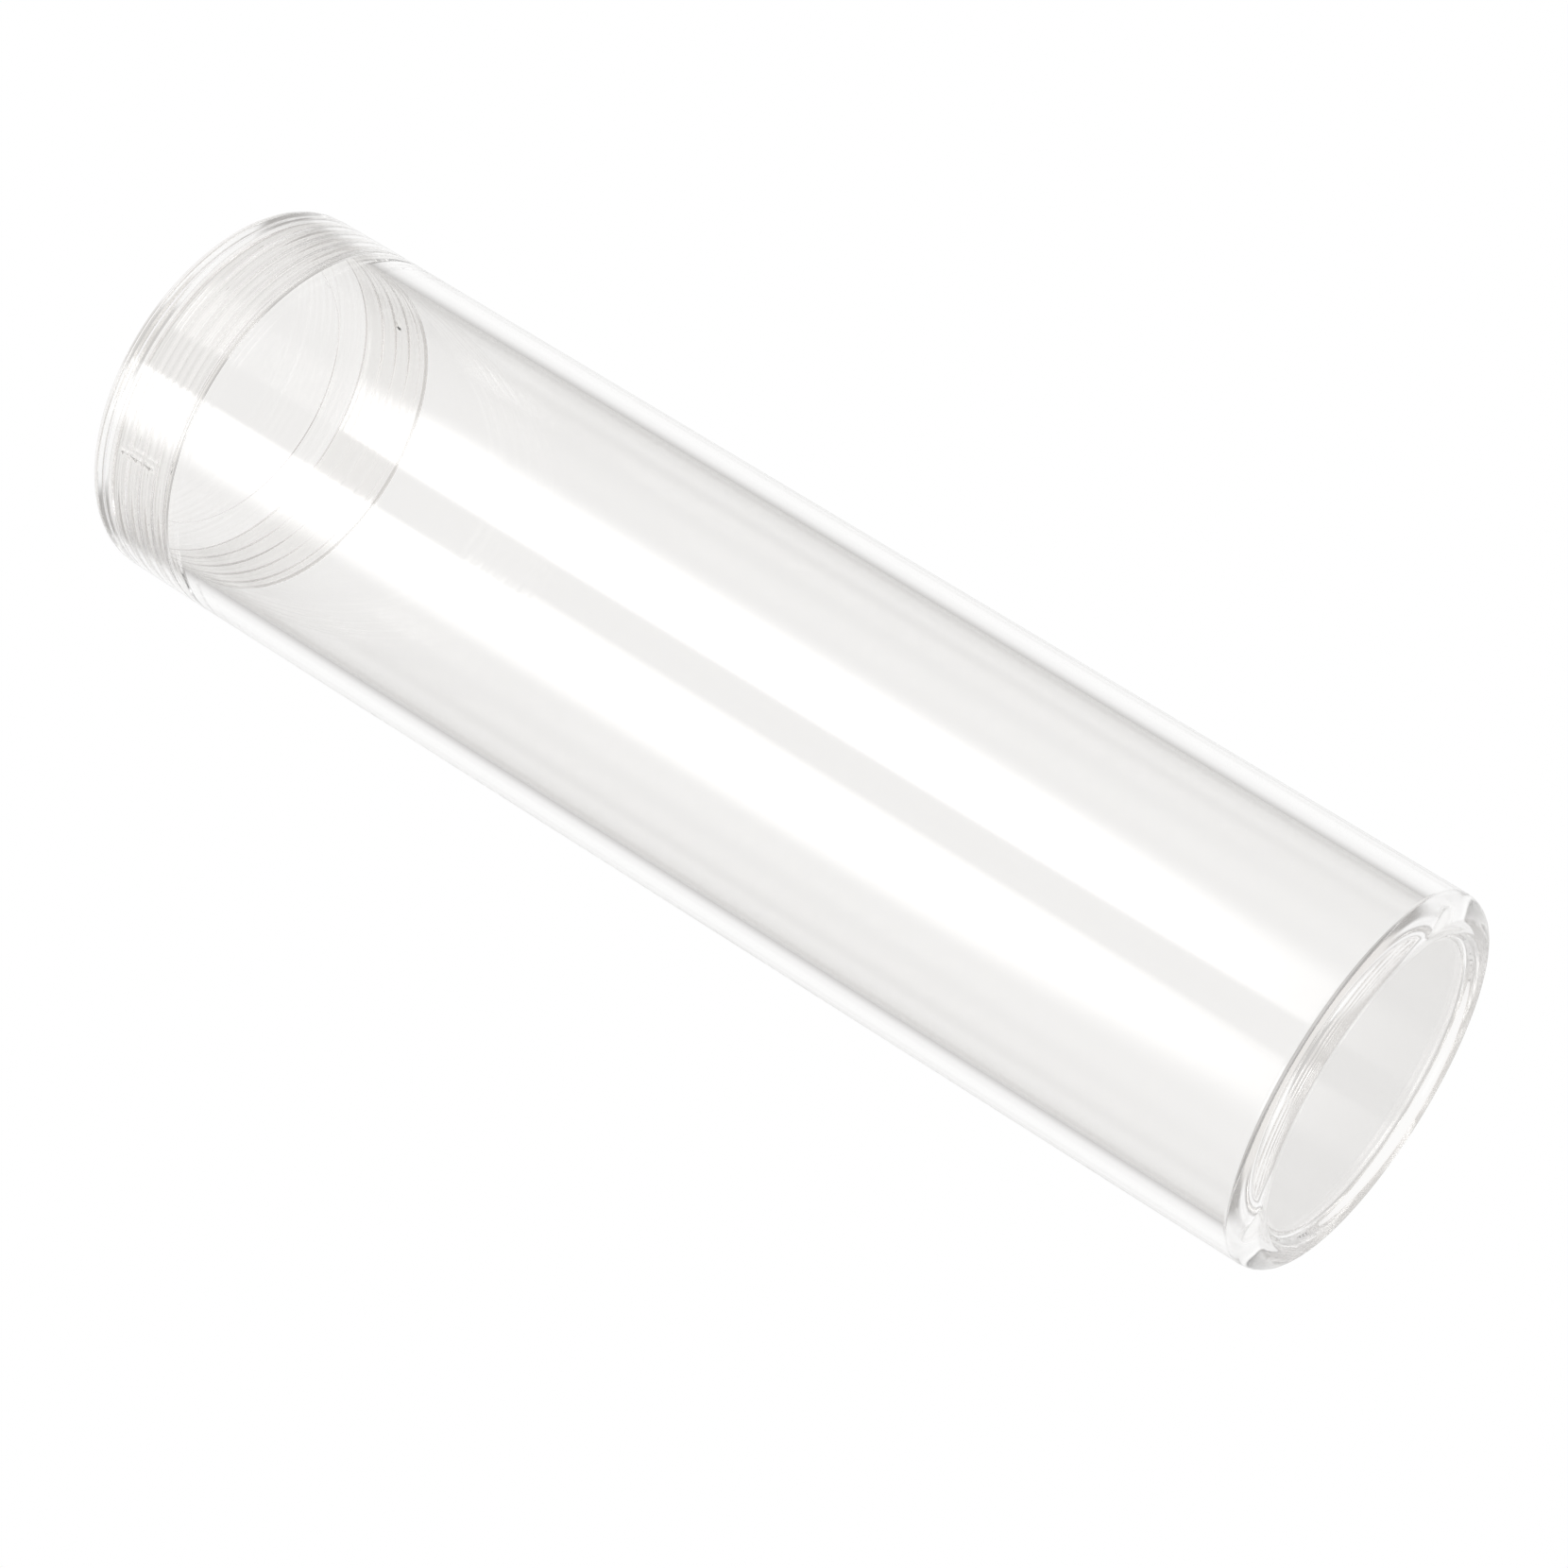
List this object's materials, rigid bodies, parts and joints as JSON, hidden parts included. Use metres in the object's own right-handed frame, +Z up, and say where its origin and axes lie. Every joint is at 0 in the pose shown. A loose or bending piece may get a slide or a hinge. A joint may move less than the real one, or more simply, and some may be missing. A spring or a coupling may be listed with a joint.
{
  "type": "coin tube",
  "caption": "Clear moulded plastic coin tube with a flush screw cap over a threaded neck and a sunk panel in its base, standing upright on its foot ring.",
  "frame": {"origin": "on the resting plane under the centre of the base, on the tube's axis", "axes": "+Z up along the tube's axis from the base to the cap; +X and +Y across the tube, which is round"},
  "size_m": [0.04, 0.04, 0.1386],
  "materials": {
    "clear_plastic": "colourless, crystal clear and polished, as it comes out of the mould"
  },
  "bodies": {
    "tube": {"tube_body": "clear_plastic"},
    "cap": {"screw_cap": "clear_plastic"}
  },
  "joints": [
    {"name": "cap_lift", "type": "slide", "parent": "tube", "child": "cap", "axis": [0, 0, 1], "range_m": [0, 0.04]}
  ]
}
